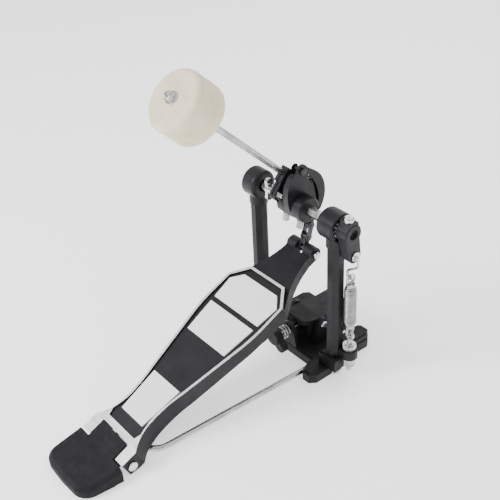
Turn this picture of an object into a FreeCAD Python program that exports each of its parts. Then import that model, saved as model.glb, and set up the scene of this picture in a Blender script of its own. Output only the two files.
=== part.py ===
import FreeCAD, Part
import math
import os

import Sketcher

# Bass drum pedal.  Millimetres, +Z up, +Y towards the drum, +X to the player's right.
# Origin: on the floor, directly below the middle of the axle.

V = FreeCAD.Vector
doc = FreeCAD.newDocument("bass_drum_pedal")

# ------------------------------------------------------------------ driving dimensions
DIMENSIONS = {
    # axle and its two bearings
    "axle_height": 175.0, "axle_hex_width": 9.0, "axle_end_radius": 5.0,
    "axle_left_end": 62.5, "axle_right_end": 74.6, "hex_half_length": 45.0,
    "bearing_outer_radius": 13.0, "bearing_width": 8.0, "race_wall": 2.0, "ball_radius": 1.95,
    "ball_count": 9, "hub_radius": 15.0, "hub_left_inner_face": 46.0, "hub_right_inner_face": 42.8,
    "hub_outer_face": 64.0,
    # posts and base
    "post_spacing": 111.2, "post_width": 16.0, "post_foot": 8.0, "post_head": 158.0,
    "collar_radius": 9.4, "collar_foot": 153.0, "base_thickness": 12.0, "boss_height": 26.0,
    "foot_height": 17.0,
    "stud_radius": 3.0, "stud_length": 30.0,
    # footboard, measured along (u), across (w) and square to (n) its top face
    "board_incline": 24.29, "board_start_y": -243.0, "board_start_z": 14.0,
    "rim_depth": 4.5, "rim_width": 2.7, "recess_depth": 2.0, "board_floor": 3.0,
    "flange_depth": 22.0, "flange_wall": 3.4, "pad_thickness": 1.3,
    "hinge_u": 9.7, "hinge_depth": 9.6, "hinge_pin_radius": 2.4, "pin_clearance": 0.06,
    "toe_pin_u": 273.5, "toe_pin_depth": 8.0, "toe_pin_radius": 1.4, "knuckle_radius": 7.2,
    "toe_half_width": 17.0, "chain_slot_half_width": 5.4,
    # heel plate and the rods that tie it to the base
    "heel_back_y": -285.0, "heel_front_y": -242.5, "heel_half_width": 37.5,
    "tongue_half_width": 20.4, "tongue_front_y": -225.0, "heel_height": 24.0,
    "rod_radius": 2.8, "rod_centre_z": 4.0, "rubber_thickness": 1.0,
    # chain, cam and beater
    "chain_pitch": 12.7, "wrap_radius": 25.0, "plate_half_height": 4.1, "plate_thickness": 0.9,
    "roller_radius": 3.1, "chain_pin_radius": 1.5, "toe_eye_radius": 2.85,
    "inner_plate_x": 2.2, "outer_plate_x": 3.25,
    "hub_left": -15.0, "hub_right": -4.7, "hub_barrel_radius": 12.8, "cam_right": 19.5,
    "cam_flange_x": 4.7, "cam_flange_thickness": 2.4, "beater_x": -9.6, "beater_offset": 18.0,
    "beater_lean": 45.74, "beater_rod_radius": 3.15, "rod_top": 190.0, "rod_foot": -14.0,
    "felt_radius": 29.0, "felt_length": 37.0, "felt_edge": 6.0,
    "clamp_ear_left": -13.2, "clamp_ear_width": 7.2,
    # return spring
    "lever_left": 65.4, "lever_right": 78.5, "lever_hub_radius": 10.0, "crank_length": 26.0,
    "crank_y": 4.5, "link_radius": 1.3, "link_eye_radius": 3.5,
    "spring_x": 70.4, "spring_y": 5.5, "spring_radius": 6.2, "spring_wire": 1.25,
    "spring_foot": 64.5, "spring_head": 112.5, "tension_rod_radius": 2.6, "eye_height": 53.5,
    "eye_radius": 4.4, "eye_wire": 1.6,
    # hoop clamp
    "jaw_half_width": 17.4, "jaw_pivot_y": 15.0, "jaw_pivot_z": 33.0, "jaw_pin_radius": 2.5,
    "clamp_screw_z": 28.0, "clamp_screw_radius": 2.9, "cheek_inner_x": 18.0,
    "cheek_thickness": 5.0,
}

sheet = doc.addObject("Spreadsheet::Sheet", "dims")
for row, (alias, value) in enumerate(DIMENSIONS.items(), start=1):
    sheet.set(f"A{row}", alias)
    sheet.set(f"B{row}", str(value))
    sheet.setAlias(f"B{row}", alias)
doc.recompute()


def dim(alias):
    return float(getattr(sheet, alias))


# ------------------------------------------------------------------ modelling helpers
PARTS = []


def part(obj):
    """Register a finished sub-part: its label becomes the name of its file."""
    PARTS.append(obj)
    return obj


def bind(obj, **cells):
    """Tie properties of obj to expressions of the sheet's cells."""
    for name, cell in cells.items():
        obj.setExpression(name.replace("__", "."), str(cell))
    return obj


def cell(text):
    """Turn a formula written with bare aliases into a sheet expression."""
    words = sorted(DIMENSIONS, key=len, reverse=True)
    out, i = "", 0
    while i < len(text):
        hit = next((w for w in words if text.startswith(w, i)
                    and (i == 0 or not (text[i - 1].isalnum() or text[i - 1] == "_"))), None)
        out += "dims." + hit if hit else text[i]
        i += len(hit) if hit else 1
    return out


def put(obj, x="0", y="0", z="0", axis=(1, 0, 0), angle="0"):
    """Place an object by expressions; the angle (degrees) turns it about a fixed axis."""
    obj.Placement = FreeCAD.Placement(V(0, 0, 0), FreeCAD.Rotation(V(*axis), 1.0))
    for prop, text in (("Base.x", x), ("Base.y", y), ("Base.z", z), ("Rotation.Angle", angle)):
        obj.setExpression("Placement." + prop, cell(str(text)))
    return obj


def primitive(kind, label, x="0", y="0", z="0", axis=(1, 0, 0), angle="0", **sizes):
    """A Part primitive whose sizes and place are sheet formulas."""
    obj = doc.addObject("Part::" + kind, label)
    obj.Label = label
    bind(obj, **{key: cell(str(text)) for key, text in sizes.items()})
    return put(obj, x, y, z, axis, angle)


def join(label, *shapes):
    obj = doc.addObject("Part::MultiFuse", label)
    obj.Label = label
    obj.Shapes = list(shapes)
    obj.Refine = True
    return obj


def cut(label, base, tool):
    obj = doc.addObject("Part::Cut", label)
    obj.Label = label
    obj.Base, obj.Tool = base, tool
    obj.Refine = True
    return obj


def group(label, *shapes):
    """Several loose solids of one kind kept in one node."""
    obj = doc.addObject("Part::Compound", label)
    obj.Label = label
    obj.Links = list(shapes)
    return obj


def new_body(label):
    body = doc.addObject("PartDesign::Body", label)
    body.Label = label
    return body


def sketch(body, role, name, level="0", angle=0.0):
    """An empty sketch on one of the body's own origin planes, moved along its normal."""
    item = body.newObject("Sketcher::SketchObject", body.Name + "_" + name)
    plane = next(f for f in body.Origin.OriginFeatures if f.Role == role)
    item.AttachmentSupport = [(plane, "")]
    item.MapMode = "FlatFace"
    item.AttachmentOffset = FreeCAD.Placement(V(0, 0, 0), FreeCAD.Rotation(V(0, 0, 1), angle))
    item.setExpression("AttachmentOffset.Base.z", cell(str(level)))
    return item


def outline(item, points):
    """Close a profile through points; a pair of points is an arc (via, end)."""
    start = V(*points[0], 0)
    here = start
    edges = []
    for step in list(points[1:]) + [points[0]]:
        if isinstance(step[0], tuple):
            via, end = V(*step[0], 0), V(*step[1], 0)
            edges.append(Part.Arc(here, via, end))
        else:
            end = V(*step, 0)
            if (end - here).Length < 1e-6:
                continue
            edges.append(Part.LineSegment(here, end))
        here = end
    item.addGeometry(edges, False)
    for i in range(len(edges)):
        j = (i + 1) % len(edges)
        item.addConstraint(Sketcher.Constraint("Coincident", i, 2 if end_is_last(edges[i]) else 1,
                                               j, 1 if end_is_last(edges[j]) else 2))
    return item


def end_is_last(edge):
    """An arc drawn clockwise is stored backwards: its second point is its start."""
    if isinstance(edge, Part.LineSegment):
        return True
    arc = edge.toShape().Curve
    return arc.Axis.z > 0


def ring(item, radius, x=0.0, y=0.0):
    """A circle whose radius is a sheet formula."""
    number = item.addGeometry(Part.Circle(V(x, y, 0), V(0, 0, 1), 1.0), False)
    if x == 0 and y == 0:
        item.addConstraint(Sketcher.Constraint("Coincident", number, 3, -1, 1))
    index = item.addConstraint(Sketcher.Constraint("Radius", number, 1.0))
    item.setExpression(f"Constraints[{index}]", cell(str(radius)))
    return item


def pad(body, profile, length, both_ways=False, backwards=False):
    item = body.newObject("PartDesign::Pad", profile.Name + "_pad")
    item.Profile = profile
    item.Midplane = both_ways
    item.Reversed = backwards
    item.setExpression("Length", cell(str(length)))
    return item


def pocket(body, profile, length, both_ways=False, backwards=False):
    """A pocket that must remove material, so its volume is compared with its base."""
    doc.recompute()
    before = body.Shape.Volume
    item = body.newObject("PartDesign::Pocket", profile.Name + "_pocket")
    item.Profile = profile
    item.Midplane = both_ways
    item.Reversed = backwards
    item.setExpression("Length", cell(str(length)))
    doc.recompute()
    if item.Shape.Volume >= before - 1e-3:
        raise RuntimeError(f"{item.Name} removed nothing")
    return item


def dress(body, kind, size, chosen):
    """A fillet or chamfer on the edges that chosen(edge) accepts."""
    doc.recompute()
    base = body.Tip
    names = [f"Edge{i}" for i, edge in enumerate(base.Shape.Edges, 1) if chosen(edge)]
    if not names:
        raise RuntimeError(f"{body.Name}: no edge chosen")
    item = body.newObject("PartDesign::" + kind, f"{body.Name}_{kind}_{len(body.Group)}")
    item.Base = (base, names)
    item.setExpression("Radius" if kind == "Fillet" else "Size", cell(str(size)))
    doc.recompute()
    if item.Shape.isNull() or not item.Shape.isValid() or item.State and "Invalid" in item.State:
        raise RuntimeError(f"{item.Name} failed")
    return item


def mirrored(points):
    """Close a right-hand half outline (x >= 0) with its mirror image."""
    left = []
    previous = points[-1][1] if isinstance(points[-1][0], tuple) else points[-1]
    left.append((-previous[0], previous[1]))
    for index in range(len(points) - 1, 0, -1):
        step = points[index]
        before = points[index - 1]
        end = before[1] if isinstance(before[0], tuple) else before
        if isinstance(step[0], tuple):
            left.append(((-step[0][0], step[0][1]), (-end[0], end[1])))
        else:
            left.append((-end[0], end[1]))
    if abs(left[0][0]) < 1e-9:
        left = left[1:]
    return points + left


def at_height(z, margin=0.05):
    """Choose edges that lie in one level plane."""
    def chosen(edge):
        box = edge.BoundBox
        return abs(box.ZMin - z) < margin and abs(box.ZMax - z) < margin
    return chosen


def hexagon(across):
    radius = across / math.sqrt(3.0)
    return [(radius * math.cos(math.radians(a)), radius * math.sin(math.radians(a)))
            for a in range(0, 360, 60)]


def polar(radius, degrees, centre=(0.0, 0.0)):
    return (centre[0] + radius * math.cos(math.radians(degrees)),
            centre[1] + radius * math.sin(math.radians(degrees)))


# ------------------------------------------------------------------ base and posts
def base_casting():
    body = new_body("base_casting")
    plan = sketch(body, "XY_Plane", "plan")
    outline(plan, mirrored([
        (0, 64), (13, 64), (16, 61), (16, 36), (31, 33), (31, 55), (35, 59), (45, 59), (51, 52),
        (51, 27), (57, 18), (57, -26), (52, -32.5), (43, -32.5), (39, -28), (35, -14), (0, -14)]))
    pad(body, plan, "base_thickness")
    dress(body, "Chamfer", "2.5", at_height(dim("base_thickness")))
    # the two far feet stand higher than the plate
    for side in (-1, 1):
        foot = sketch(body, "XY_Plane", f"foot{side + 1}", "base_thickness - 1")
        outline(foot, [(side * x, y) for x, y in
                       ((32, 34), (32, 55), (35.5, 58.5), (45, 58.5), (50, 52), (50, 28),
                        (46, 24), (36, 24))])
        pad(body, foot, "foot_height - base_thickness + 1")
    dress(body, "Chamfer", "1.5", at_height(dim("foot_height")))
    # the far lip that goes under the drum's hoop is thinner
    lip = sketch(body, "XY_Plane", "lip", "6")
    outline(lip, [(-18, 36.5), (18, 36.5), (18, 66), (-18, 66)])
    pocket(body, lip, "10", backwards=True)
    # sockets for the two posts
    for side in (-1, 1):
        boss = sketch(body, "XY_Plane", f"boss{side + 1}", "base_thickness - 1")
        centre = side * dim("post_spacing") / 2
        outline(boss, [(centre - 11.5, -11), (centre + 11.5, -11),
                       (centre + 11.5, 12), (centre - 11.5, 12)])
        pad(body, boss, "boss_height - base_thickness + 1")
    dress(body, "Chamfer", "2", at_height(dim("boss_height")))
    for side in (-1, 1):
        centre = side * dim("post_spacing") / 2
        socket = sketch(body, "XY_Plane", f"socket{side + 1}", "post_foot")
        outline(socket, octagon(dim("post_width") + 0.02, centre))
        pocket(body, socket, "40", backwards=True)
        hole = sketch(body, "XY_Plane", f"bolt{side + 1}", "0")
        ring(hole, "stud_radius + 0.2", centre, 0)
        pocket(body, hole, "20", backwards=True)
        sink = sketch(body, "XY_Plane", f"sink{side + 1}", "0")
        ring(sink, "stud_radius + 2.6", centre, 0)
        pocket(body, sink, "4", backwards=True)
    # cheeks that carry the hoop clamp's pivot
    y, z = dim("jaw_pivot_y"), dim("jaw_pivot_z")
    for side in (-1, 1):
        start = "cheek_inner_x" if side > 0 else "-cheek_inner_x - cheek_thickness"
        cheek = sketch(body, "YZ_Plane", f"cheek{side + 1}", start)
        outline(cheek, [(y - 11, 10), (y - 7, z), ((y, z + 7), (y + 7, z)), (y + 12, 10)])
        pad(body, cheek, "cheek_thickness")
    pivot = sketch(body, "YZ_Plane", "pivot")
    ring(pivot, "jaw_pin_radius + 0.02", y, z)
    pocket(body, pivot, "70", both_ways=True)
    # rear wall that the clamp screw passes through
    wall = sketch(body, "XZ_Plane", "wall", "9")
    outline(wall, [(-13, 10), (13, 10), (8, 33), ((0, 36.5), (-8, 33))])
    pad(body, wall, "4.5")
    bore = sketch(body, "XZ_Plane", "bore", "0")
    ring(bore, "clamp_screw_radius + 0.35", 0, dim("clamp_screw_z"))
    pocket(body, bore, "30", backwards=True)
    # bracket for the spring's tension rod, on the right-hand boss
    arm = sketch(body, "XY_Plane", "arm", "26")
    x, y = dim("spring_x"), dim("spring_y")
    outline(arm, [(64.1, y - 8.5), (x, y - 8.5), ((x + 8.5, y), (x, y + 8.5)),
                  (64.1, y + 8.5)])
    pad(body, arm, "10")
    gusset = sketch(body, "XZ_Plane", "gusset", "-spring_y")
    outline(gusset, [(64.1, 14), (67, 12), (72, 27), (64.1, 34)])
    pad(body, gusset, "9", both_ways=True)
    neck = sketch(body, "XY_Plane", "neck", "20")
    outline(neck, [(64.1, y - 8.5), (67, y - 8.5), (67, y + 8.5), (64.1, y + 8.5)])
    pad(body, neck, "16")
    drop = sketch(body, "XY_Plane", "drop", "0")
    ring(drop, "tension_rod_radius + 0.35", x, y)
    pocket(body, drop, "60", backwards=True)
    clear = sketch(body, "XY_Plane", "clear", "0")
    ring(clear, "8.2", x, y)
    pocket(body, clear, "26", backwards=True)
    # blind holes for the two tie rods
    for side in (-1, 1):
        hole = sketch(body, "XZ_Plane", f"tie{side + 1}", "0")
        ring(hole, "rod_radius + 0.02", side * 37.2, dim("rod_centre_z"))
        pocket(body, hole, "40", backwards=True)
    return part(body)


def octagon(across, x=0.0, y=0.0):
    radius = across / 2 / math.cos(math.radians(22.5))
    return [polar(radius, 22.5 + 45 * i, (x, y)) for i in range(8)]


def posts():
    for side, name in ((-1, "left"), (1, "right")):
        body = new_body(f"post_{name}")
        plan = sketch(body, "XY_Plane", "plan")
        outline(plan, octagon(dim("post_width")))
        pad(body, plan, "post_head - post_foot")
        hole = sketch(body, "XY_Plane", "thread")
        ring(hole, "stud_radius")
        pocket(body, hole, "stud_length - 8", backwards=True)
        put(body, f"{side} * post_spacing / 2", "0", "post_foot")
        part(body)


def post_bolts():
    bolts = []
    for side in (-1, 1):
        x = f"{side} * post_spacing / 2"
        shank = primitive("Cylinder", f"post_shank{side + 1}", x, "0", "3.6",
                          Radius="stud_radius", Height="stud_length - 4")
        head = primitive("Cylinder", f"post_head{side + 1}", x, "0", "0.4",
                         Radius="stud_radius + 2.4", Height="3.4")
        key = primitive("Prism", f"post_key{side + 1}", x, "0", "0",
                        Circumradius="2.6", Height="2.4")
        solid = join(f"post_bolt{side + 1}", shank, head)
        bolts.append(cut(f"post_bolt_cut{side + 1}", solid, key))
    return part(group("post_bolts", *bolts))


def hub_housings():
    """A bearing hub on a collar, one above each post."""
    for side, name in ((-1, "left"), (1, "right")):
        body = new_body(f"hub_{name}")
        face = f"hub_{name}_inner_face"
        barrel = sketch(body, "YZ_Plane", "barrel", face if side > 0 else "-hub_outer_face")
        ring(barrel, "hub_radius")
        pad(body, barrel, f"hub_outer_face - {face}")
        inner, outer = side * dim(face), side * dim("hub_outer_face")
        dress(body, "Fillet", "3.6", lambda e: abs(e.BoundBox.XMax - inner) < 0.01
              and abs(e.BoundBox.XMin - inner) < 0.01)
        dress(body, "Fillet", "1.6", lambda e: abs(e.BoundBox.XMax - outer) < 0.01
              and abs(e.BoundBox.XMin - outer) < 0.01)
        collar = sketch(body, "XY_Plane", "collar", "collar_foot - axle_height")
        ring(collar, "collar_radius", side * dim("post_spacing") / 2, 0)
        pad(body, collar, "axle_height - collar_foot - 6")
        seat = sketch(body, "YZ_Plane", "seat",
                      "hub_outer_face" if side > 0 else "-hub_outer_face")
        ring(seat, "bearing_outer_radius")
        pocket(body, seat, "bearing_width + 1", backwards=side < 0)
        bore = sketch(body, "YZ_Plane", "bore")
        ring(bore, "axle_end_radius + 1.5")
        pocket(body, bore, "200", both_ways=True)
        socket = sketch(body, "XY_Plane", "socket", "collar_foot - axle_height")
        outline(socket, octagon(dim("post_width") + 0.02, side * dim("post_spacing") / 2))
        pocket(body, socket, "post_head - collar_foot + 0.02", backwards=True)
        put(body, z="axle_height")
        part(body)


def bearings():
    for side, name in ((-1, "left"), (1, "right")):
        start = ("hub_outer_face - bearing_width - 1" if side > 0
                 else "-hub_outer_face + 1")
        for race, inner, outer in (("outer", "bearing_outer_radius - race_wall",
                                    "bearing_outer_radius"),
                                   ("inner", "axle_end_radius",
                                    "axle_end_radius + race_wall")):
            body = new_body(f"bearing_{name}_{race}_race")
            face = sketch(body, "YZ_Plane", "face", start)
            ring(face, outer)
            ring(face, inner)
            pad(body, face, "bearing_width")
            put(body, z="axle_height")
            part(body)
        balls = []
        count = int(dim("ball_count"))
        middle = side * (dim("hub_outer_face") - 1 - dim("bearing_width") / 2)
        pitch = (dim("bearing_outer_radius") + dim("axle_end_radius")) / 2
        for i in range(count):
            y, z = polar(pitch, 360 * i / count)
            balls.append(primitive("Sphere", f"ball_{name}_{i}", middle, y,
                                   f"axle_height + {z}", Radius="ball_radius"))
        part(group(f"bearing_{name}_balls", *balls))


# ------------------------------------------------------------------ footboard
def place_on_board(obj):
    return put(obj, "0", "board_start_y", "board_start_z", (1, 0, 0), "board_incline")


def rim_half(inset=0.0):
    """Right-hand half of the footboard's bright rim, seen square on."""
    i = inset
    return [(21.6 - i, 20.9 + i), (21.9, 3.0 + i), (33.6 - i, 3.0 + i), (34.0 - i, 19.5),
            ((26.0 - i, 32.0), (22.3 - i, 50.0)), ((22.9 - i, 68.0), (26.3 - i, 86.0)),
            (38.2 - i, 150.0), ((40.4 - i, 166.0), (41.0 - i, 180.0)),
            (40.6 - i, 207.0 - i * 0.4), (24.7 - i * 0.5, 225.6 - i)]


def recess_half():
    """Right-hand half of the dark recess inside the rim."""
    i = dim("rim_width")
    return [(21.2, 27.4), (24.0 - i * 0.2, 34.5), ((20.9, 44.0), (22.3 - i, 55.0)),
            ((23.9 - i, 72.0), (27.2 - i, 90.0)), (38.0 - i, 150.0),
            ((40.3 - i, 166.0), (41.0 - i, 180.0)), (40.6 - i, 206.0), (23.8 - i * 0.3, 225.6 - i)]


def footboard():
    body = new_body("footboard")
    # black casting below the rim, running on to the toe
    plan = sketch(body, "XY_Plane", "plan", "-flange_depth")
    half = rim_half()[:-1] + [(33.6, 218.5), ((25.0, 234.0), (19.0, 252.0)),
                              (dim("toe_half_width"), 262.0), (dim("toe_half_width"), 272.5)]
    outline(plan, mirrored(half))
    pad(body, plan, "flange_depth - rim_depth")
    rim = sketch(body, "XY_Plane", "rim", "-rim_depth - 0.5")
    outline(rim, mirrored(rim_half()))
    pad(body, rim, "rim_depth + 0.5")
    recess = sketch(body, "XY_Plane", "recess", "-recess_depth")
    outline(recess, mirrored(recess_half()))
    pocket(body, recess, "recess_depth + 1", backwards=True)
    # hollow underside, walled all round and ribbed across the middle
    wall = dim("flange_wall")
    for name, low, high in (("heel", 30.0, 118.0), ("middle", 121.5, 205.0)):
        hollow = sketch(body, "XY_Plane", f"hollow_{name}", "-flange_depth - 1")
        outline(hollow, mirrored([(board_half_width(u) - wall, u) for u in
                                  (low, low + 12, low + 30, (low + high) / 2, high)]))
        pocket(body, hollow, "flange_depth + 1 - recess_depth - board_floor", backwards=True)
    heel_gap = sketch(body, "XY_Plane", "heel_gap", "-flange_depth - 1")
    outline(heel_gap, [(-20.4, 20), (20.4, 20), (20.4, 31), (-20.4, 31)])
    pocket(body, heel_gap, "flange_depth + 1 - 9", backwards=True)
    toe = sketch(body, "XY_Plane", "hollow_toe", "-flange_depth - 1")
    outline(toe, mirrored([(36.5, 208.5), (30.5, 217.5), (22.0, 232.0), (14.5, 250.0)]))
    pocket(body, toe, "flange_depth + 1 - rim_depth - board_floor", backwards=True)
    # the flange is deepest beside the heel and gets shallower towards the toe
    under = sketch(body, "YZ_Plane", "under")
    outline(under, [(-20, -17.5), (4.5, -17.5), (13, -19.4), (21, -19.2), (27, -18.8), (38, -20.4),
                    (62, -20), (110, -17.6), (145, -15.4), (170, -14.2), (184, -15.8),
                    (222, -14.6), (290, -15.2), (290, -40), (-20, -40)])
    pocket(body, under, "120", both_ways=True)
    # toe knuckles with the chain's slot between them
    knuckle = sketch(body, "YZ_Plane", "knuckle")
    ring(knuckle, "knuckle_radius", dim("toe_pin_u"), -dim("toe_pin_depth"))
    pad(body, knuckle, "2 * toe_half_width", both_ways=True)
    slot = sketch(body, "XY_Plane", "slot", "-40")
    half_slot = dim("chain_slot_half_width")
    outline(slot, [(-half_slot, 266.5), (half_slot, 266.5), (half_slot, 290), (-half_slot, 290)])
    pocket(body, slot, "60", backwards=True)
    pin = sketch(body, "YZ_Plane", "toe_bore")
    ring(pin, "toe_pin_radius + 0.02", dim("toe_pin_u"), -dim("toe_pin_depth"))
    pocket(body, pin, "60", both_ways=True)
    hinge = sketch(body, "YZ_Plane", "hinge_bore")
    ring(hinge, "hinge_pin_radius", dim("hinge_u"), -dim("hinge_depth"))
    pocket(body, hinge, "100", both_ways=True)
    return part(place_on_board(body))


def board_half_width(u):
    """Half width of the footboard at a distance u from its heel end."""
    table = [(20, 34.0), (32, 26.0), (50, 22.3), (68, 22.9), (86, 26.3), (150, 38.2),
             (180, 41.0), (207, 40.6)]
    for (u0, w0), (u1, w1) in zip(table, table[1:]):
        if u <= u1:
            return w0 + (w1 - w0) * (u - u0) / (u1 - u0)
    return table[-1][1]


def footboard_pads():
    shapes = {
        "pad_heel": [(17.0, 40.0), (20.6, 86.0)],
        "pad_middle": [(28.6, 137.6), (32.3, 173.8)],
        "pad_toe": [(32.9, 179.2), (35.4, 203.5), (24.3, 214.8)],
    }
    for name, half in shapes.items():
        body = new_body(name)
        plan = sketch(body, "XY_Plane", "plan", "-recess_depth")
        outline(plan, mirrored(half))
        pad(body, plan, "pad_thickness")
        dress(body, "Fillet", "0.4", at_height(dim("pad_thickness") - dim("recess_depth")))
        part(place_on_board(body))


def turned(label, profile, role="XY_Plane", register=True):
    """A lathe-turned piece; the profile runs along the turning axis from its first point."""
    body = new_body(label)
    shape = sketch(body, role, "profile")
    outline(shape, profile)
    item = body.newObject("PartDesign::Revolution", label + "_turn")
    item.Profile = shape
    item.ReferenceAxis = (shape, ["H_Axis"])
    item.Angle = 360
    body.Tip = item
    return part(body) if register else body


def bolt_profile(start, end, radius, head, head_radius, dome=0.8):
    """Half outline of a headed pin: shank from start to end, head beyond the end."""
    return [(start, 0), (end + head, 0), (end + head, head_radius - dome),
            ((end + head - dome * 0.3, head_radius - dome * 0.3), (end + head - dome, head_radius)),
            (end, head_radius), (end, radius), (start, radius)]


def at_board(u, depth):
    """Sheet formulas for the place of a point of the footboard's middle plane."""
    along, lift = "cos(board_incline * 1deg)", "sin(board_incline * 1deg)"
    return {"y": f"board_start_y + {u} * {along} + {depth} * {lift}",
            "z": f"board_start_z + {u} * {lift} - {depth} * {along}"}


def board_pins():
    """The heel hinge pin, and the bolt and nut through the toe knuckles."""
    pin = turned("heel_hinge_pin", bolt_profile(-34.6, 34.15, dim("hinge_pin_radius") - 0.02,
                                                2.0, 4.9, 1.2))
    put(pin, "0", **at_board("hinge_u", "hinge_depth"))
    reach = dim("toe_half_width") + 0.1
    bolt = turned("toe_bolt", bolt_profile(-reach - 5.5, reach, dim("toe_pin_radius"),
                                           4.2, 4.0, 1.2))
    put(bolt, "0", **at_board("toe_pin_u", "toe_pin_depth"))
    nut = new_body("toe_nut")
    face = sketch(nut, "YZ_Plane", "face", f"-{reach} - 3.2")
    outline(face, hexagon(7.0))
    ring(face, "toe_pin_radius")
    pad(nut, face, "3.2")
    part(put(nut, "0", **at_board("toe_pin_u", "toe_pin_depth")))


# ------------------------------------------------------------------ heel plate and tie rods
def heel_plate():
    body = new_body("heel_plate")
    back, front = dim("heel_back_y"), dim("heel_front_y")
    half, tongue = dim("heel_half_width"), dim("tongue_half_width")
    tip = dim("tongue_front_y")
    plan = sketch(body, "XY_Plane", "plan", "rubber_thickness")
    outline(plan, mirrored([(0, tip), (tongue - 1, tip), (tongue, tip - 1), (tongue, front),
                            (half, front), (half - 2.2, back + 17.5),
                            ((half - 7.2, back + 5.2), (half - 18.5, back + 0.9)), (0, back)]))
    pad(body, plan, "heel_height - rubber_thickness")
    # the top slopes down to the back, and its tongue rises in line with the footboard
    top = sketch(body, "YZ_Plane", "top")
    outline(top, [(back - 5, 10.4), (front - 6, 14.8), ((front + 2.0, 16.2), (front + 9.0, 19.6)),
                  (tip + 5, 24.3), (tip + 5, 40), (back - 5, 40)])
    pocket(body, top, "120", both_ways=True)

    def upper_rim(edge):
        middle = edge.valueAt((edge.FirstParameter + edge.LastParameter) / 2)
        outer = abs(middle.x) > half - 22 or middle.y < back + 6
        return middle.z > 9.5 and outer and middle.y < front - 2
    dress(body, "Chamfer", "3.6", upper_rim)
    # channels for the tie rods
    for side in (-1, 1):
        channel = sketch(body, "XY_Plane", f"channel{side + 1}", "0")
        x = side * 13.0
        outline(channel, [(x - 3.3, front - 12), (x + 3.3, front - 12),
                          (x + 3.3, tip + 3), (x - 3.3, tip + 3)])
        pocket(body, channel, "rod_centre_z + rod_radius + 0.3", backwards=True)
    across = sketch(body, "XY_Plane", "channel_across", "0")
    outline(across, [(-13, -250.5), (13, -250.5), (13, -240.5), (-13, -240.5)])
    pocket(body, across, "rod_centre_z + rod_radius + 0.3", backwards=True)
    hinge = sketch(body, "YZ_Plane", "hinge")
    slope = math.radians(dim("board_incline"))
    u, n = dim("hinge_u"), dim("hinge_depth")
    ring(hinge, "hinge_pin_radius + pin_clearance",
         dim("board_start_y") + u * math.cos(slope) + n * math.sin(slope),
         dim("board_start_z") + u * math.sin(slope) - n * math.cos(slope))
    pocket(body, hinge, "100", both_ways=True)
    return part(body)


def heel_pad():
    """Non-slip rubber sheet under the heel plate, behind the tie rods."""
    body = new_body("heel_rubber")
    back = dim("heel_back_y")
    half = dim("heel_half_width")
    plan = sketch(body, "XY_Plane", "plan")
    outline(plan, mirrored([(0, -251), (half - 1.0, -251), (half - 2.8, back + 17.5),
                            ((half - 7.8, back + 5.8), (half - 18.8, back + 1.5)),
                            (0, back + 0.6)]))
    pad(body, plan, "rubber_thickness")
    return part(body)


def rounded_path(points, radii):
    """Straight runs joined by tangent arcs of the given radii."""
    edges = []
    here = V(*points[0], 0)
    for before, corner, after, radius in zip(points, points[1:], points[2:], radii):
        a, b, c = V(*before, 0), V(*corner, 0), V(*after, 0)
        into, out = (b - a).normalize(), (c - b).normalize()
        turn = into.getAngle(out)
        setback = radius * math.tan(turn / 2)
        bow = radius / math.cos(turn / 2) - radius
        start, end = b - into * setback, b + out * setback
        edges += [Part.LineSegment(here, start),
                  Part.Arc(start, b + (out - into).normalize() * bow, end)]
        here = end
    return edges + [Part.LineSegment(here, V(*points[-1], 0))]


def tie_rods():
    """One bent wire: from the base back under the heel plate and forward again."""
    body = new_body("tie_rod_frame")
    path = sketch(body, "XY_Plane", "path", "rod_centre_z")
    right = [(37.2, -5.0), (37.2, -22.0), (29.1, -196.0), (13.0, -212.0), (13.0, -247.0)]
    points = right + [(-x, y) for x, y in reversed(right)]
    path.addGeometry(rounded_path(points, [60, 16, 16, 7, 7, 16, 16, 60]), False)
    section = sketch(body, "XZ_Plane", "section", -points[0][1])
    ring(section, "rod_radius", points[0][0], dim("rod_centre_z"))
    pipe = body.newObject("PartDesign::AdditivePipe", "tie_rod_sweep")
    pipe.Profile = section
    pipe.Spine = path
    body.Tip = pipe
    return part(body)


# ------------------------------------------------------------------ axle, hub and cam
def axle():
    body = new_body("axle")
    bar = sketch(body, "YZ_Plane", "hex")
    outline(bar, hexagon(dim("axle_hex_width")))
    pad(body, bar, "2 * hex_half_length", both_ways=True)
    left = sketch(body, "YZ_Plane", "left", "-axle_left_end")
    ring(left, "axle_end_radius")
    pad(body, left, "axle_left_end - hex_half_length + 1")
    right = sketch(body, "YZ_Plane", "right", "hex_half_length - 1")
    ring(right, "axle_end_radius")
    pad(body, right, "axle_right_end - hex_half_length + 1")
    return part(put(body, z="axle_height"))


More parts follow.
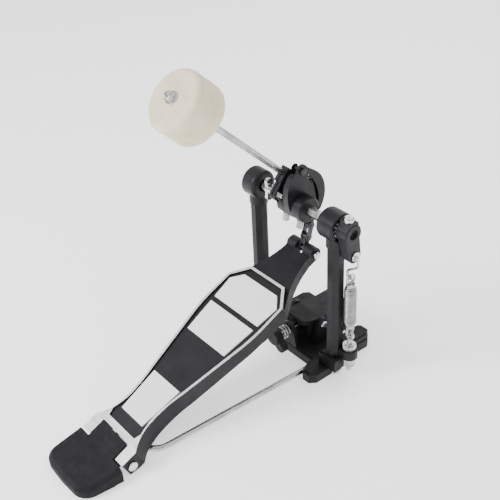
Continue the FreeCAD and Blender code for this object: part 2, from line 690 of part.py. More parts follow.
def beater_hub():
    """Clamp block: a barrel on the axle with a split socket for the beater's rod."""
    body = new_body("beater_hub")
    barrel = sketch(body, "YZ_Plane", "barrel", "hub_left + 3.6")
    ring(barrel, "hub_barrel_radius")
    pad(body, barrel, "hub_right - hub_left - 3.6")
    # block round the rod, drawn in the rod's own directions
    lean = math.radians(dim("beater_lean"))
    off = dim("beater_offset")

    def on_rod(s, n):
        return (-s * math.sin(lean) + n * math.cos(lean), s * math.cos(lean) + n * math.sin(lean))
    block = sketch(body, "YZ_Plane", "block", "hub_left")
    outline(block, [on_rod(-12.5, off + 5), on_rod(-13.5, 0),
                    on_rod(-6, -12), on_rod(3, -12.4), on_rod(9, -8), on_rod(13, off - 12),
                    on_rod(28, off - 9.5), on_rod(28, off + 6.5), on_rod(8, off + 6.5)])
    pad(body, block, "hub_right - hub_left")
    dress(body, "Chamfer", "1.2", lambda e: abs(e.BoundBox.XMax - dim("hub_left")) < 0.01
          and abs(e.BoundBox.XMin - dim("hub_left")) < 0.01 and e.Length > 1)
    ear = sketch(body, "YZ_Plane", "ear", "clamp_ear_left")
    outline(ear, [on_rod(9, 4), on_rod(13.5, -5), (on_rod(19.6, -8), on_rod(24.6, -3)),
                  on_rod(25.5, 9), on_rod(13, 9)])
    pad(body, ear, "clamp_ear_width")
    bore = sketch(body, "YZ_Plane", "bore")
    outline(bore, hexagon(dim("axle_hex_width")))
    pocket(body, bore, "100", both_ways=True)
    split = sketch(body, "YZ_Plane", "split", "beater_x - 0.6")
    outline(split, [on_rod(10.5, off), on_rod(10.5, -14), on_rod(40, -14), on_rod(40, off)])
    pocket(body, split, "1.2", backwards=True)
    clamp = sketch(body, "YZ_Plane", "clamp")
    ring(clamp, "2.42", *on_rod(19.6, -1.4))
    pocket(body, clamp, "100", both_ways=True)
    put(body, z="axle_height")
    lean_text = "beater_lean * 1deg"
    socket = primitive("Cylinder", "beater_socket", "beater_x",
                       f"beater_offset * cos({lean_text}) + 30 * sin({lean_text})",
                       f"axle_height + beater_offset * sin({lean_text})"
                       f" - 30 * cos({lean_text})", (1, 0, 0), "beater_lean",
                       Radius="beater_rod_radius + 0.05", Height="100")
    body.Label = "beater_hub_blank"
    whole = cut("beater_hub_cut", body, socket)
    whole.Label = "beater_hub"
    return part(whole)


def key_screw(label, shank, register=False):
    """Square-headed screw with a washer, drawn along +Y with its seat at the origin."""
    body = turned(label, [(-shank, 0), (3.2, 0), (3.2, 3.1), (1.3, 3.1), (1.3, 4.1), (0.02, 4.1),
                          (0.02, 2.4), (-shank, 2.4)], "YZ_Plane", register)
    head = sketch(body, "XZ_Plane", "head", "-3.0")
    outline(head, [(-2.4, -2.4), (2.4, -2.4), (2.4, 2.4), (-2.4, 2.4)])
    pad(body, head, "5.6", backwards=True)
    return body


def hub_screws():
    """One square-headed screw from below locks the hub, and one the cam, to the axle."""
    screws = []
    angle = -105.0
    for name, x in (("hub", -8.5), ("cam", 11.5)):
        screw = key_screw(f"{name}_screw", dim("hub_barrel_radius") - dim("axle_hex_width") / 2 - 0.6)
        reach = dim("hub_barrel_radius")
        y, z = polar(reach, angle)
        screws.append(put(screw, x, y, f"axle_height + {z}", (1, 0, 0), angle))
    return part(group("hub_screws", *screws))


def clamp_bolt():
    """Wing bolt and nut that close the split clamp on the beater's rod."""
    lean = math.radians(dim("beater_lean"))
    s, n = 19.6, -1.4
    y = -s * math.sin(lean) + n * math.cos(lean)
    z = s * math.cos(lean) + n * math.sin(lean)
    left, right = dim("clamp_ear_left"), dim("clamp_ear_left") + dim("clamp_ear_width")
    bolt = turned("beater_wing_bolt", [(left - 10.5, 0), (right + 6, 0), (right + 6, 2.4),
                                       (left - 0.02, 2.4), (left - 0.02, 4.6), (left - 1.4, 4.6),
                                       (left - 1.4, 3.7), (left - 9.5, 3.7), (left - 10.5, 2.7)])
    wings = sketch(bolt, "YZ_Plane", "wings", left - 9.6)
    outline(wings, [(-2.6, -3.6), (-3.4, -8.5), ((0, -11.5), (3.4, -8.5)), (2.6, -3.6),
                    (2.6, 3.6), (3.4, 8.5), ((0, 11.5), (-3.4, 8.5)), (-2.6, 3.6)])
    pad(bolt, wings, "3.6")
    put(bolt, "0", y, f"axle_height + {z}")
    nut = new_body("beater_clamp_nut")
    face = sketch(nut, "YZ_Plane", "face", right + 0.02)
    outline(face, hexagon(8.0))
    ring(face, "2.4")
    pad(nut, face, "3.4")
    part(put(nut, "0", y, f"axle_height + {z}"))


def chain_joint(number):
    """Chain joints in the YZ plane: 0 is the tangent point, positive ones lie on the cam."""
    radius, pitch = dim("wrap_radius"), dim("chain_pitch")
    slope = math.radians(dim("board_incline"))
    u, n = dim("toe_pin_u"), dim("toe_pin_depth")
    toe = (dim("board_start_y") + u * math.cos(slope) + n * math.sin(slope),
           dim("board_start_z") + u * math.sin(slope) - n * math.cos(slope))
    dy, dz = toe[0], toe[1] - dim("axle_height")
    span = math.hypot(dy, dz)
    tangent = math.degrees(math.atan2(dz, dy) + math.acos(radius / span))
    step = math.degrees(2 * math.asin(pitch / 2 / radius))
    if number < 0:
        start = polar(radius, tangent)
        direction = ((dy - start[0]), (dz - start[1]))
        length = math.hypot(*direction)
        return (start[0] - number * pitch * direction[0] / length,
                start[1] - number * pitch * direction[1] / length)
    if number <= 3:
        return polar(radius, tangent + number * step)
    before = polar(radius, tangent + 3 * step)
    return (before[0] + pitch * math.cos(math.radians(112.0)),
            before[1] + pitch * math.sin(math.radians(112.0)))


def chain_link(label, first, inner):
    """One roller-chain link from joint `first` to the next one up."""
    a, b = chain_joint(first), chain_joint(first + 1)
    tall, pitch = dim("plate_half_height"), dim("chain_pitch")
    waist = tall - 1.0
    body = new_body(label)
    start = "inner_plate_x" if inner else "outer_plate_x"
    for side, level in ((1, start), (-1, f"-{start} - plate_thickness")):
        plate = sketch(body, "YZ_Plane", f"plate{side + 1}", level)
        outline(plate, [(0, tall), ((-tall, 0), (0, -tall)), ((pitch / 2, -waist), (pitch, -tall)),
                        ((pitch + tall, 0), (pitch, tall)), ((pitch / 2, waist), (0, tall))])
        pad(body, plate, "plate_thickness")
    anchored = first == 3
    ends = {"a": 0} if anchored else {"a": 0, "b": pitch}
    for end, y in ends.items():
        barrel = sketch(body, "YZ_Plane", f"barrel_{end}")
        ring(barrel, "roller_radius" if inner else "chain_pin_radius", y, 0)
        pad(body, barrel, "2 * inner_plate_x + 0.4" if inner
            else "2 * (outer_plate_x + plate_thickness + 0.4)", both_ways=True)
    bores = {"a": 0, "b": pitch} if inner else {"b": pitch} if anchored else {}
    for end, y in bores.items():
        toe = first == -4 and end == "a"
        hole = sketch(body, "YZ_Plane", f"hole_{end}")
        ring(hole, "toe_eye_radius" if toe else "chain_pin_radius + 0.06", y, 0)
        pocket(body, hole, "30", both_ways=True)
    angle = math.degrees(math.atan2(b[1] - a[1], b[0] - a[0]))
    return part(put(body, "0", a[0], f"axle_height + {a[1]}", (1, 0, 0), angle))


def chain():
    for number in range(-4, 4):
        chain_link(f"chain_link_{number + 5}", number, inner=number % 2 == 0)


def drive_cam():
    """Casting that the chain wraps: barrel, chain seat and a windowed side flange."""
    body = new_body("drive_cam")
    barrel = sketch(body, "YZ_Plane", "barrel", "hub_right + 0.3")
    ring(barrel, "hub_barrel_radius")
    pad(body, barrel, "cam_right - hub_right - 0.3")
    dress(body, "Chamfer", "1.0", lambda e: abs(e.BoundBox.XMax - dim("cam_right")) < 0.01
          and abs(e.BoundBox.XMin - dim("cam_right")) < 0.01)
    seat_radius = (dim("wrap_radius") - dim("plate_half_height") - 1.4)
    seat = sketch(body, "YZ_Plane", "seat", "hub_right + 0.3")
    outline(seat, [(-4, 8), polar(seat_radius, 112), (polar(seat_radius, 40),
                                                     polar(seat_radius, -32)), (6, -8)])
    pad(body, seat, "cam_flange_x - hub_right - 0.3 + 0.5")
    back = sketch(body, "YZ_Plane", "back", "hub_right + 5.0")
    outline(back, [(4, 0), (1.8, 19.0), (-2.6, 31.0), (-5.0, 34.0), (-9.5, 31.5), (-14.6, 23.0),
                   ((-15.0, 6.0), (-9.5, -9.0)), (0, -8)])
    pad(body, back, "cam_flange_x - hub_right - 5.0 + 0.5")
    flange = sketch(body, "YZ_Plane", "flange", "cam_flange_x")
    lug = chain_joint(4)
    outline(flange, [polar(28.9, -30), (polar(31.6, 0), polar(36.4, 58)),
                     (lug[0] + 6.0, lug[1] + 2.6), ((lug[0] + 0.5, lug[1] + 6.6),
                                                    (lug[0] - 6.0, lug[1] + 1.0)),
                     (-9.5, 31.5), (-14.6, 23.0), ((-15.0, 6.0), (-9.5, -9.0)), (-4, -12.5),
                     (8, -13.5)])
    pad(body, flange, "cam_flange_thickness")
    window = sketch(body, "YZ_Plane", "window", "cam_flange_x + 0.5")
    outline(window, [(23.6, -5.0), ((22.6, 7.8), (10.6, 29.4)), (8.0, 27.2),
                     ((19.0, 7.0), (20.6, -4.0))])
    pocket(body, window, "cam_flange_thickness", backwards=True)
    behind = sketch(body, "YZ_Plane", "behind", "cam_flange_x")
    outline(behind, [(23.6, -5.0), ((22.6, 7.8), (10.6, 29.4)), (8.0, 27.2),
                     ((19.9, 7.4), (20.6, -4.0))])
    pocket(body, behind, "1.0", backwards=True)
    anchor = sketch(body, "YZ_Plane", "anchor")
    ring(anchor, "chain_pin_radius", *lug)
    pocket(body, anchor, "100", both_ways=True)
    bore = sketch(body, "YZ_Plane", "bore")
    outline(bore, hexagon(dim("axle_hex_width")))
    pocket(body, bore, "100", both_ways=True)
    return part(put(body, z="axle_height"))


def chain_anchor():
    """Screw that holds the chain's last link to the cam's lug."""
    y, z = chain_joint(4)
    right = dim("cam_flange_x") + dim("cam_flange_thickness")
    screw = turned("chain_anchor_screw", bolt_profile(-5.2, right + 0.02, dim("chain_pin_radius"),
                                                      2.4, 3.6, 1.0))
    return put(screw, "0", y, f"axle_height + {z}")


# ------------------------------------------------------------------ beater
def on_beater(obj):
    """Place a piece drawn along +Z so that it stands on the beater's rod line."""
    lean = "beater_lean * 1deg"
    return put(obj, "beater_x", f"beater_offset * cos({lean})",
               f"axle_height + beater_offset * sin({lean})", (1, 0, 0), "beater_lean")


def upright_turned(label, profile):
    """A piece turned about +Z; the profile lists (radius, height)."""
    body = new_body(label)
    shape = sketch(body, "XZ_Plane", "profile")
    outline(shape, profile)
    item = body.newObject("PartDesign::Revolution", label + "_turn")
    item.Profile = shape
    item.ReferenceAxis = (shape, ["V_Axis"])
    item.Angle = 360
    body.Tip = item
    return part(body)


def beater():
    top, foot, rod = dim("rod_top"), dim("rod_foot"), dim("beater_rod_radius")
    felt, length, edge = dim("felt_radius"), dim("felt_length"), dim("felt_edge")
    stud, step = 2.5, top - 1.5
    bottom = step - 1.6 - length
    on_beater(upright_turned("beater_rod", [
        (0, foot), (rod - 0.8, foot), (rod, foot + 0.8), (rod, bottom - 1.6), (4.2, bottom - 1.6),
        (4.2, bottom - 0.02), (stud, bottom - 0.02), (stud, top + 1.4), (0, top + 1.4)]))
    knee = edge * (1 - math.sqrt(0.5))
    on_beater(upright_turned("beater_felt", [
        (stud, bottom), (felt - edge, bottom), ((felt - knee, bottom + knee),
                                                (felt, bottom + edge)),
        (felt, bottom + length - edge), ((felt - knee, bottom + length - knee),
                                         (felt - edge, bottom + length)),
        (stud, bottom + length)]))
    face = bottom + length
    on_beater(upright_turned("beater_washer", [
        (stud, face + 0.02), (6.2, face + 0.02), (6.2, face + 1.0), (5.8, face + 1.4),
        (stud, face + 1.4)]))
    foot = face + 1.42
    sides = primitive("Prism", "cap_nut_sides", z=foot, Circumradius="4.9", Height="3.4")
    shoulder = primitive("Cone", "cap_nut_shoulder", z=foot + 3.3, Radius1="3.9", Radius2="3.3",
                         Height="2.1")
    crown = primitive("Cone", "cap_nut_crown", z=foot + 5.4, Radius1="3.3", Radius2="1.4",
                      Height="1.3")
    bore = primitive("Cylinder", "cap_nut_bore", z=foot - 1, Radius="2.5",
                     Height=top + 1.6 - foot + 1)
    nut = cut("beater_cap_nut", join("cap_nut_blank", sides, shoulder, crown), bore)
    on_beater(part(nut))


# ------------------------------------------------------------------ return spring
def spring_lever():
    body = new_body("spring_lever")
    hub = sketch(body, "YZ_Plane", "hub", "lever_left")
    ring(hub, "lever_hub_radius")
    pad(body, hub, "lever_right - lever_left")
    dress(body, "Fillet", "1.6", lambda e: abs(e.BoundBox.XMax - dim("lever_right")) < 0.01
          and abs(e.BoundBox.XMin - dim("lever_right")) < 0.01)
    arm = sketch(body, "YZ_Plane", "arm", "lever_left + 1")
    y, z = dim("crank_y"), -dim("crank_length")
    outline(arm, [(-8.6, -3), (-3.2, z), ((y, z - 7.0), (y + 7.0, z)), (9.2, -3)])
    pad(body, arm, "10.0")
    boss = sketch(body, "YZ_Plane", "boss", "lever_left + 1")
    outline(boss, [(-7.4, 4), (-6.2, 11.0), (-5.2, 12.0), (5.2, 12.0), (6.2, 11.0), (7.4, 4)])
    pad(body, boss, "11.4")
    bore = sketch(body, "YZ_Plane", "bore")
    ring(bore, "axle_end_radius")
    pocket(body, bore, "300", both_ways=True)
    hook = sketch(body, "YZ_Plane", "hook")
    ring(hook, "link_eye_radius", y, z)
    pocket(body, hook, "300", both_ways=True)
    tap = sketch(body, "XY_Plane", "tap", "3")
    ring(tap, "3.0", dim("lever_left") + 6.7, 0)
    pocket(body, tap, "20", backwards=True)
    return part(put(body, z="axle_height"))


def lever_screw():
    body = upright_turned("lever_screw", [
        (0, 5.2), (3.0, 5.2), (3.0, 12.02), (4.9, 12.02), (4.9, 14.6), ((4.4, 15.9), (3.4, 16.4)),
        (0, 16.4)])
    slot = sketch(body, "XY_Plane", "slot", "15.2")
    outline(slot, hexagon(3.0))
    pocket(body, slot, "3", backwards=True)
    return put(body, "lever_left + 6.7", "0", "axle_height")


def wire(label, plane, points, radii, radius, place):
    """Round wire along straight runs and arcs in one plane, through a Part::Sweep."""
    body = new_body(label)
    path = sketch(body, plane, "path")
    path.addGeometry(rounded_path(points, radii), False)
    (x0, y0), (x1, y1) = points[0], points[1]
    section = body.newObject("Sketcher::SketchObject", label + "_section")
    role = "XY_Plane" if abs(x1 - x0) < 1e-6 else "YZ_Plane"
    origin = next(f for f in body.Origin.OriginFeatures if f.Role == role)
    section.AttachmentSupport = [(origin, "")]
    section.MapMode = "FlatFace"
    section.AttachmentOffset = FreeCAD.Placement(V(0, 0, y0 if role == "XY_Plane" else x0),
                                                 FreeCAD.Rotation())
    centre = (x0, 0.0) if role == "XY_Plane" else (0.0, y0)
    ring(section, radius, *centre)
    pipe = body.newObject("PartDesign::AdditivePipe", label + "_sweep")
    pipe.Profile = section
    pipe.Spine = path
    body.Tip = pipe
    return put(body, **place)


def spring_link():
    """Bent wire from the lever's hole down to the spring."""
    top = dim("axle_height") - dim("crank_length")
    x = dim("spring_x")
    low = dim("spring_head") + 8.8
    points = [(64.8, top), (80.0, top), (80.6, top - 10.5), (x - 3.4, top - 20), (x - 3.4, low),
              (x + 3.0, low), (x + 3.0, low + 5.0)]
    part(wire("spring_link", "XZ_Plane", points, [1.9, 3.0, 5.0, 2.9, 2.9],
              "link_radius", {"y": "crank_y"}))
    washer = turned("link_washer", [(76.8, 1.32), (78.0, 1.32), (78.0, 4.4), (77.6, 4.8),
                                    (76.8, 4.8)])
    return put(washer, "0", "crank_y", "axle_height - crank_length")


def hook_end(label, plug_start, plug_end, ring_centre):
    """Plug in the end of the coil with a wire eye beyond it."""
    x, y = "spring_x", "spring_y"
    plug = primitive("Cylinder", label + "_plug", x, y, plug_start,
                     Radius="spring_radius - spring_wire - 0.7", Height=f"{plug_end} - ({plug_start})")
    eye = primitive("Torus", label + "_eye", x, y, ring_centre, (0, 1, 0), "90",
                    Radius1="eye_radius", Radius2="link_radius")
    return part(join(label, plug, eye))


def tension_spring():
    """Close-wound coil spring, drawn as a tube of its outside and inside diameters."""
    body = new_body("tension_spring")
    face = sketch(body, "XY_Plane", "face")
    ring(face, "spring_radius")
    ring(face, "spring_radius - 2 * spring_wire + 0.6")
    pad(body, face, "spring_head - spring_foot")
    return part(put(body, "spring_x", "spring_y", "spring_foot"))


def tension_rod():
    x, y = "spring_x", "spring_y"
    shank = primitive("Cylinder", "tension_shank", x, y, "9", Radius="tension_rod_radius",
                      Height="eye_height - eye_radius - 9")
    eye = primitive("Torus", "tension_eye", x, y, "eye_height", (1, 0, 0), "90",
                    Radius1="eye_radius", Radius2="eye_wire")
    return part(join("tension_rod", shank, eye))


def knurled_nut(label, radius, height, z, teeth, shoulder):
    """Round thumb nut with straight knurls and a plain shoulder."""
    body = new_body(label)
    rim = sketch(body, "XY_Plane", "rim")
    outline(rim, [polar(radius if i % 2 else radius - 0.45, 360 * i / (2 * teeth))
                  for i in range(2 * teeth)])
    ring(rim, "tension_rod_radius + 0.05")
    pad(body, rim, height)
    step = sketch(body, "XY_Plane", "step", height)
    ring(step, radius - 2.4)
    ring(step, "tension_rod_radius + 0.05")
    pad(body, step, shoulder)
    return part(put(body, "spring_x", "spring_y", z))


# ------------------------------------------------------------------ hoop clamp
def clamp_jaw():
    body = new_body("clamp_jaw")
    half = dim("jaw_half_width")
    y, z = dim("jaw_pivot_y"), dim("jaw_pivot_z")
    side = sketch(body, "YZ_Plane", "side")
    outline(side, [(-4.2, 34.0), (2.5, 33.0), (2.5, 20), (8.5, 20), (8.5, 27), (22, 27), (41, 24),
                   (45, 18.4), (62, 18.4), (64.5, 21), (64.5, 30), ((63, 33.2), (59, 34.6)),
                   (40, 34.6), (18, 38.2), (-2, 38.2), (-4.2, 37)])
    pad(body, side, "2 * jaw_half_width", both_ways=True)
    corner = sketch(body, "XY_Plane", "corner", "0")
    outline(corner, [(half - 9, -6), (half - 2.2, 4), (half - 0.3, 11), (half - 0.3, 15),
                     (half + 4, 15), (half + 4, -6)])
    pocket(body, corner, "60", backwards=True)
    corner = sketch(body, "XY_Plane", "corner_left", "0")
    outline(corner, [(9 - half, -6), (2.2 - half, 4), (0.3 - half, 11), (0.3 - half, 15),
                     (-half - 4, 15), (-half - 4, -6)])
    pocket(body, corner, "60", backwards=True)
    bore = sketch(body, "YZ_Plane", "bore")
    ring(bore, "jaw_pin_radius + pin_clearance", y, z)
    pocket(body, bore, "100", both_ways=True)
    # tall slot in the leg, so that the jaw can rock on the clamp screw
    slot = sketch(body, "XZ_Plane", "slot", "-2")
    outline(slot, [(-3.3, 23.6), (3.3, 23.6), (3.3, 33.2), (-3.3, 33.2)])
    pocket(body, slot, "9.4")
    return part(body)


def clamp_pieces():
    """Rubber facings, pivot bolt, screw, wing knob and the spring behind it."""
    facing = new_body("jaw_rubber")
    plan = sketch(facing, "XY_Plane", "plan", "16.4")
    outline(plan, [(-15, 46), (15, 46), (15, 61.5), (-15, 61.5)])
    pad(facing, plan, "2")
    part(facing)
    lower = new_body("base_rubber")
    plan = sketch(lower, "XY_Plane", "plan", "6")
    outline(plan, [(-15, 39.5), (15, 39.5), (15, 61), (13, 63), (-13, 63), (-15, 61)])
    pad(lower, plan, "1.5")
    part(lower)
    reach = dim("cheek_inner_x") + dim("cheek_thickness")
    bolt = turned("jaw_pivot_bolt", bolt_profile(-reach - 3.4, reach + 0.02,
                                                 dim("jaw_pin_radius"), 2.6, 4.2, 1.4))
    put(bolt, "0", "jaw_pivot_y", "jaw_pivot_z")
    nut = new_body("jaw_pivot_nut")
    face = sketch(nut, "YZ_Plane", "face", f"-{reach} - 3.22")
    outline(face, hexagon(7.6))
    ring(face, "jaw_pin_radius")
    pad(nut, face, "3.2")
    part(put(nut, "0", "jaw_pivot_y", "jaw_pivot_z"))
    screw = turned("clamp_screw", [(-32.6, 0), (10.2, 0), (10.2, 2.1), (9.4, 2.9), (-32.6, 2.9)],
                   "YZ_Plane")
    put(screw, "0", "0", "clamp_screw_z")
    knob = new_body("clamp_knob")
    wings = sketch(knob, "XZ_Plane", "wings", "27")
    outline(wings, [(-12, 6.2), ((-18.2, 0), (-12, -6.2)), (12, -6.2), ((18.2, 0), (12, 6.2))])
    pad(knob, wings, "7.0")
    dress(knob, "Fillet", "1.6", lambda e: abs(e.BoundBox.YMin + 34) < 0.05
          and abs(e.BoundBox.YMax + 34) < 0.05)
    hub = sketch(knob, "XZ_Plane", "hub", "26")
    ring(hub, "8.2")
    pad(knob, hub, "9")
    bore = sketch(knob, "XZ_Plane", "bore", "20")
    ring(bore, "clamp_screw_radius + 0.05")
    pocket(knob, bore, "12.7", backwards=True)
    part(put(knob, "0", "0", "clamp_screw_z", (0, 1, 0), "38"))
    coil = primitive("Helix", "clamp_spring_line", Pitch="3.4", Height="9.6", Radius="6.0")
    doc.recompute()
    section = doc.addObject("Part::Circle", "clamp_spring_section")
    section.Radius = 1.0
    section.Placement = FreeCAD.Placement(V(6.0, 0, 0), FreeCAD.Rotation(V(1, 0, 0), 90))
    sweep = doc.addObject("Part::Sweep", "clamp_spring")
    sweep.Label = "clamp_spring"
    sweep.Sections = [section]
    sweep.Spine = coil
    sweep.Solid = True
    sweep.Frenet = True
    part(put(sweep, "0", "-15.2", "clamp_screw_z", (1, 0, 0), "90"))


# ------------------------------------------------------------------ build, check, write
def build():
    base_casting()
    posts()
    post_bolts()
    hub_housings()
    bearings()
    footboard()
    footboard_pads()
    board_pins()
    heel_plate()
    heel_pad()
    tie_rods()
    axle()
    beater_hub()
    hub_screws()
    clamp_bolt()
    drive_cam()
    chain()
    chain_anchor()
    beater()
    spring_lever()
    lever_screw()
    spring_link()
    hook_end("spring_top_hook", "spring_head - 6", "spring_head + 2.6", "spring_head + 7.3")
    hook_end("spring_foot_hook", "spring_foot - 2.0", "spring_foot + 6", "spring_foot - 5.6")
    tension_spring()
    tension_rod()
    knurled_nut("tension_nut", 6.9, 4.6, "36.3", 26, 1.4)
    knurled_nut("lock_nut", 6.0, 8.6, "15.6", 24, 1.2)
    clamp_jaw()
    clamp_pieces()
    doc.recompute()


def check_and_write():
    faults = [f"{o.Name}: {o.State}" for o in doc.Objects
              if "Invalid" in o.State or "Error" in o.State]
    faults += [f"{o.Label}: no valid solid" for o in PARTS
               if o.Shape.isNull() or not o.Shape.isValid() or not o.Shape.Solids]
    if faults:
        raise RuntimeError("; ".join(faults))
    os.makedirs("parts", exist_ok=True)
    for obj in PARTS:
        obj.Shape.exportStep(f"parts/{obj.Label}.step")
        print(f"{obj.Label}: {len(obj.Shape.Solids)} solid(s), {obj.Shape.Volume:.0f} mm3")
    print(len(PARTS), "nodes")


build()
check_and_write()
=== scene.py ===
import math

import bpy
import bmesh
from mathutils import Matrix, Vector


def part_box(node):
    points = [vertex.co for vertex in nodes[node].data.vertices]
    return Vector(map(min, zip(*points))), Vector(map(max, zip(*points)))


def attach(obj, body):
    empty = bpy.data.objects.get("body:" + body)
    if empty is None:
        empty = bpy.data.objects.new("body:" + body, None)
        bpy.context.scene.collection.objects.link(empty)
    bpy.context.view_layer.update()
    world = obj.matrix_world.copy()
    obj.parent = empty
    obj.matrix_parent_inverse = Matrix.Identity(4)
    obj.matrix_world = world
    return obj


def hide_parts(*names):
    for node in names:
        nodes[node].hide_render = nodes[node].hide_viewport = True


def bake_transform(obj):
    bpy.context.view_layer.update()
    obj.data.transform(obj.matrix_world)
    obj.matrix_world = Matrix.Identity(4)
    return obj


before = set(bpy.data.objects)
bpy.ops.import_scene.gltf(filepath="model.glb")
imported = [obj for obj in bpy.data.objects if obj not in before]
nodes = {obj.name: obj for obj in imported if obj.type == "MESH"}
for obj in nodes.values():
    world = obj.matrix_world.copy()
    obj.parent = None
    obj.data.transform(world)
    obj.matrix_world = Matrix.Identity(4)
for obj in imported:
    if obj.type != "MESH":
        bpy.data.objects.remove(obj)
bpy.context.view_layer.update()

# ------------------------------------------------------------------ the model's own lines
INCLINE = math.radians(24.29)
BOARD_START = Vector((0, -0.243, 0.014))
BOARD_NORMAL = Vector((0, -math.sin(INCLINE), math.cos(INCLINE)))
LEAN = math.radians(45.74)
ROD_LINE = Vector((0, -math.sin(LEAN), math.cos(LEAN)))
ROD_START = Vector((-0.0096, 0.018 * math.cos(LEAN), 0.175 + 0.018 * math.sin(LEAN)))

# camera: its place, then azimuth, elevation and roll in degrees
CAMERA_PLACE = Vector((0.55278, -0.48524, 0.61326))
CAMERA_ANGLES = (52.275, 33.694, -3.011)
CAMERA_LENS = 64.55

# brightness of the studio's dome at four heights, from the horizon to the top
DOME = [(0.0, 1.1), (0.12, 0.95), (0.25, 0.16), (0.75, 1.0)]
FLOOR_HALF = 20
FLOOR_DROP = 0.0004

# heights on the footboard, above its top plane: the bright rim's underside, then the panel's
RIM_LEVEL = -0.0004
PANEL_LEVEL = -0.0026
LEVEL_FACING = 0.9

# the spring's wire, its pitch as a share of the wire, and the taper of its end turns
WIRE = 0.0016
COIL_PITCH = 1.12
END_SHARE = 0.72
END_TURNS = 2.2

# the felt's outside radius, the rounding of its edges and the radius of its bore
FELT_RADIUS = 0.029
FELT_EDGE = 0.0062
FELT_BORE = 0.0027


# ------------------------------------------------------------------ camera, floor and light
def camera():
    az, el, roll = (math.radians(a) for a in CAMERA_ANGLES)
    look = Vector((-math.sin(az) * math.cos(el), math.cos(az) * math.cos(el), -math.sin(el)))
    side = Vector((math.cos(az), math.sin(az), 0))
    up = side.cross(look)
    right = side * math.cos(roll) + up * math.sin(roll)
    top = -side * math.sin(roll) + up * math.cos(roll)
    data = bpy.data.cameras.new("camera")
    data.lens = CAMERA_LENS
    data.sensor_width = 36
    data.clip_start = 0.01
    item = bpy.data.objects.new("camera", data)
    bpy.context.scene.collection.objects.link(item)
    turn = Matrix((right, top, -look)).transposed().to_4x4()
    item.matrix_world = Matrix.Translation(CAMERA_PLACE) @ turn
    bpy.context.scene.camera = item


def soft_light(name, place, size, power, target=(0, -0.05, 0.12)):
    data = bpy.data.lights.new(name, "AREA")
    data.shape = "DISK"
    data.size = size
    data.energy = power
    item = bpy.data.objects.new(name, data)
    bpy.context.scene.collection.objects.link(item)
    item.location = place
    item.rotation_euler = (Vector(target) - Vector(place)).to_track_quat("-Z", "Y").to_euler()


def studio():
    world = bpy.data.worlds.new("studio")
    bpy.context.scene.world = world
    world.use_nodes = True
    tree = world.node_tree
    direction = tree.nodes.new("ShaderNodeTexCoord")
    split = tree.nodes.new("ShaderNodeSeparateXYZ")
    dome = tree.nodes.new("ShaderNodeValToRGB")
    tree.links.new(direction.outputs["Generated"], split.inputs["Vector"])
    tree.links.new(split.outputs["Z"], dome.inputs["Fac"])
    tree.links.new(dome.outputs["Color"], tree.nodes["Background"].inputs["Color"])
    band = dome.color_ramp
    for height, _ in DOME[1:-1]:
        band.elements.new(height)
    for element, (height, level) in zip(band.elements, DOME):
        element.position = height
        element.color = (level, level, level, 1)
    tree.nodes["Background"].inputs["Strength"].default_value = 1.35
    soft_light("key", (-0.45, -1.05, 0.95), 0.5, 20)
    soft_light("fill", (1.15, 0.25, 0.9), 0.9, 2.5)
    soft_light("back", (-0.5, 0.9, 0.9), 0.8, 4)
    mesh = bpy.data.meshes.new("floor")
    half = FLOOR_HALF
    mesh.from_pydata([(-half, -half, 0), (half, -half, 0), (half, half, 0), (-half, half, 0)],
                     [], [(0, 1, 2, 3)])
    floor = bpy.data.objects.new("floor", mesh)
    bpy.context.scene.collection.objects.link(floor)
    floor.location.z = -FLOOR_DROP
    mat = bpy.data.materials.new("floor_paper")
    mat.use_nodes = True
    shader = mat.node_tree.nodes["Principled BSDF"]
    shader.inputs["Base Color"].default_value = (0.95, 0.95, 0.95, 1)
    shader.inputs["Roughness"].default_value = 0.9
    shader.inputs["Emission Color"].default_value = (1, 1, 1, 1)
    shader.inputs["Emission Strength"].default_value = 0.9
    mesh.materials.append(mat)


